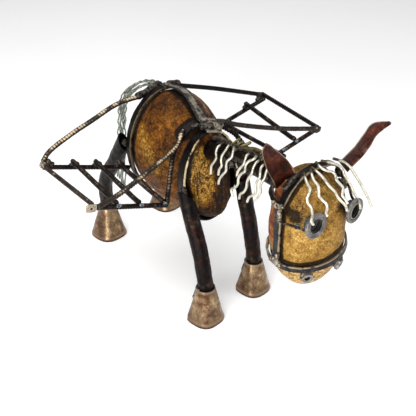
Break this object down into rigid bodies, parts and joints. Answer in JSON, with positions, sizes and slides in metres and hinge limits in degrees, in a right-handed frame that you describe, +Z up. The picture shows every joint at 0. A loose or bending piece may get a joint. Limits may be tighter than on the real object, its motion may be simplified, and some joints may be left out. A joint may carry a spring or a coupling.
{
  "type": "donkey sculpture",
  "caption": "Donkey sculpture of smooth stones held in welded scrap steel: hoops, tube legs in sheet hooves, bar trays on both flanks, wire mane, forelock and tail.",
  "frame": {"origin": "middle of the bounding box, on the ground under the hooves", "axes": "+Z up, +Y towards the tail, +X towards the donkey's left; the donkey faces -Y"},
  "size_m": [0.4354, 0.5644, 0.3778],
  "materials": {
    "stone": "worn, mottled gold and brown",
    "dark_steel": "dark, hammered and rusty",
    "hoof_sheet": "bare sheet with rust stains",
    "rebar": "ribbed bar, worn and rusty",
    "rusty_sheet": "red-brown rust",
    "nut_steel": "grey, machined",
    "bright_wire": "bright, brushed",
    "grey_wire": "dull grey-green"
  },
  "bodies": {
    "root": {"body_stone": "stone", "head_stone": "stone", "rear_hoop": "dark_steel", "chest_hoop": "dark_steel", "spine_band": "dark_steel", "withers_strap": "dark_steel", "withers_plate": "dark_steel", "leg_front_right": "dark_steel", "leg_front_left": "dark_steel", "leg_rear_right": "dark_steel", "leg_rear_left": "dark_steel", "neck": "dark_steel", "crown_band": "dark_steel", "poll_yoke": "dark_steel", "noseband": "dark_steel", "cheek_bar_right": "dark_steel", "cheek_bar_left": "dark_steel", "hoof_front_right": "hoof_sheet", "hoof_front_left": "hoof_sheet", "hoof_rear_right": "hoof_sheet", "hoof_rear_left": "hoof_sheet", "tray_right_front_bar": "rebar", "tray_right_rear_bar": "rebar", "tray_right_inner_edge": "rebar", "tray_right_slat_1": "rebar", "tray_right_slat_2": "rebar", "tray_right_outer_edge": "rebar", "tray_right_front_strut": "rebar", "tray_right_rear_strut": "rebar", "tray_left_front_bar": "rebar", "tray_left_rear_bar": "rebar", "tray_left_inner_edge": "rebar", "tray_left_slat_1": "rebar", "tray_left_slat_2": "rebar", "tray_left_outer_edge": "rebar", "tray_left_front_strut": "rebar", "tray_left_rear_strut": "rebar", "tray_right_corner_plate": "rebar", "eye_bracket_right": "rebar", "eye_bracket_left": "rebar", "ear_right": "rusty_sheet", "ear_left": "rusty_sheet", "eye_collar_right": "nut_steel", "eye_collar_left": "nut_steel", "nostril_nut_right": "nut_steel", "nostril_nut_left": "nut_steel", "mane_right": "bright_wire", "mane_left": "bright_wire", "forelock": "bright_wire", "tail": "grey_wire"}
  },
  "joints": []
}
